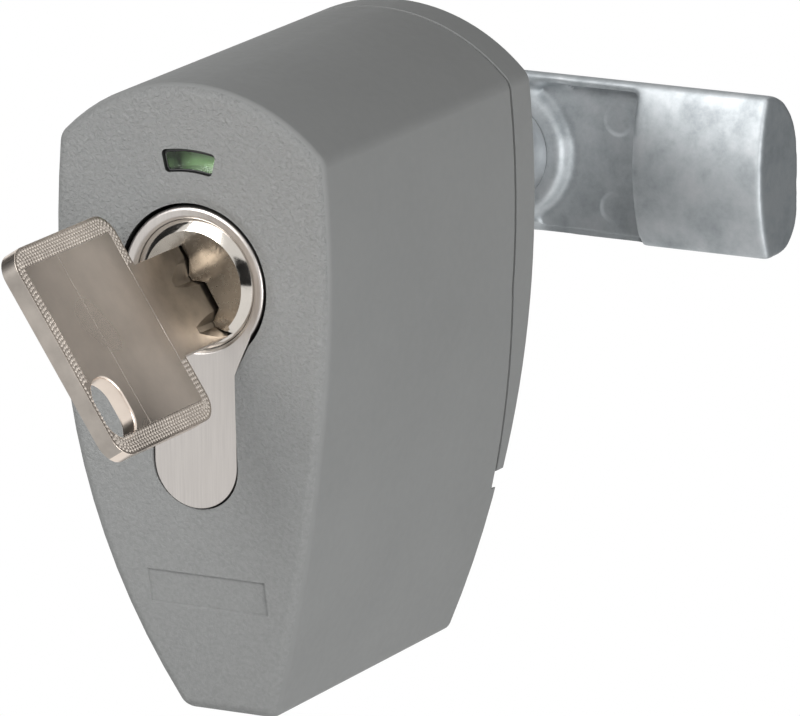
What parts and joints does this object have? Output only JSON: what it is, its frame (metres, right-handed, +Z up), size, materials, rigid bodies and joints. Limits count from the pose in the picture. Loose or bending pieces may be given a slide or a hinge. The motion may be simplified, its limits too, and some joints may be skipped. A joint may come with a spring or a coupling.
{
  "type": "rotary handle lock",
  "caption": "Rotary handle lock with a profile half cylinder and key, an arc window, a base plate and a latch tongue on a spindle behind the door.",
  "frame": {"origin": "on the handle's turning axis at the outer face of the door", "axes": "+X right seen from the front, +Y into the door, +Z up"},
  "size_m": [0.05, 0.1129, 0.0709],
  "materials": {
    "grey_paint": "fine grained grey powder coat",
    "grey_rim": "smooth grey coat",
    "nickel": "satin brushed nickel",
    "plug_nickel": "turned nickel",
    "key_nickel": "warm grey nickel",
    "zinc": "mottled cast zinc",
    "steel": "bright zinc plated steel",
    "bronze": "plain turned",
    "rubber": "matt",
    "lens": "clear",
    "black": "matt",
    "green": "satin",
    "red": "satin"
  },
  "bodies": {
    "base": {"base_plate": "grey_rim", "spindle_bush": "bronze", "door_gasket": "rubber"},
    "handle": {"handle_housing": "grey_paint", "window_lens": "lens", "chassis_plate": "steel", "chassis_screws": "steel", "spindle": "steel", "thrust_washer": "steel", "retaining_ring": "steel", "latch_tongue": "zinc", "tongue_screw": "steel", "tongue_washer": "steel", "cylinder_body": "nickel", "cylinder_screw": "steel", "driver_pins": "bronze", "pin_springs": "steel", "chamber_plugs": "bronze"},
    "plug": {"cylinder_plug": "plug_nickel", "key_pins": "bronze", "cam_ring": "steel", "tail_driver": "steel", "driver_screw": "steel", "indicator_carrier": "black", "green_field": "green", "red_field": "red"},
    "lock_slide": {"locking_slide": "steel"},
    "key": {"key": "key_nickel"}
  },
  "joints": [
    {"name": "handle_turn", "type": "hinge", "parent": "base", "child": "handle", "pos_m": [0, 0, 0], "axis": [0, 1, 0], "range_deg": [0, 90]},
    {"name": "key_turn", "type": "hinge", "parent": "handle", "child": "plug", "pos_m": [0, -0.03, 0], "axis": [0, -1, 0], "range_deg": [-33, 57]},
    {"name": "bolt_slide", "type": "slide", "parent": "handle", "child": "lock_slide", "axis": [0, 0, 1], "range_m": [-0.00187, 0.00323]},
    {"name": "key_slide", "type": "slide", "parent": "plug", "child": "key", "axis": [0, -1, 0], "range_m": [0, 0.03]}
  ],
  "couplings": [
    {"joint": "key_turn", "follows": "bolt_slide", "rad_per_m": 307.69}
  ]
}
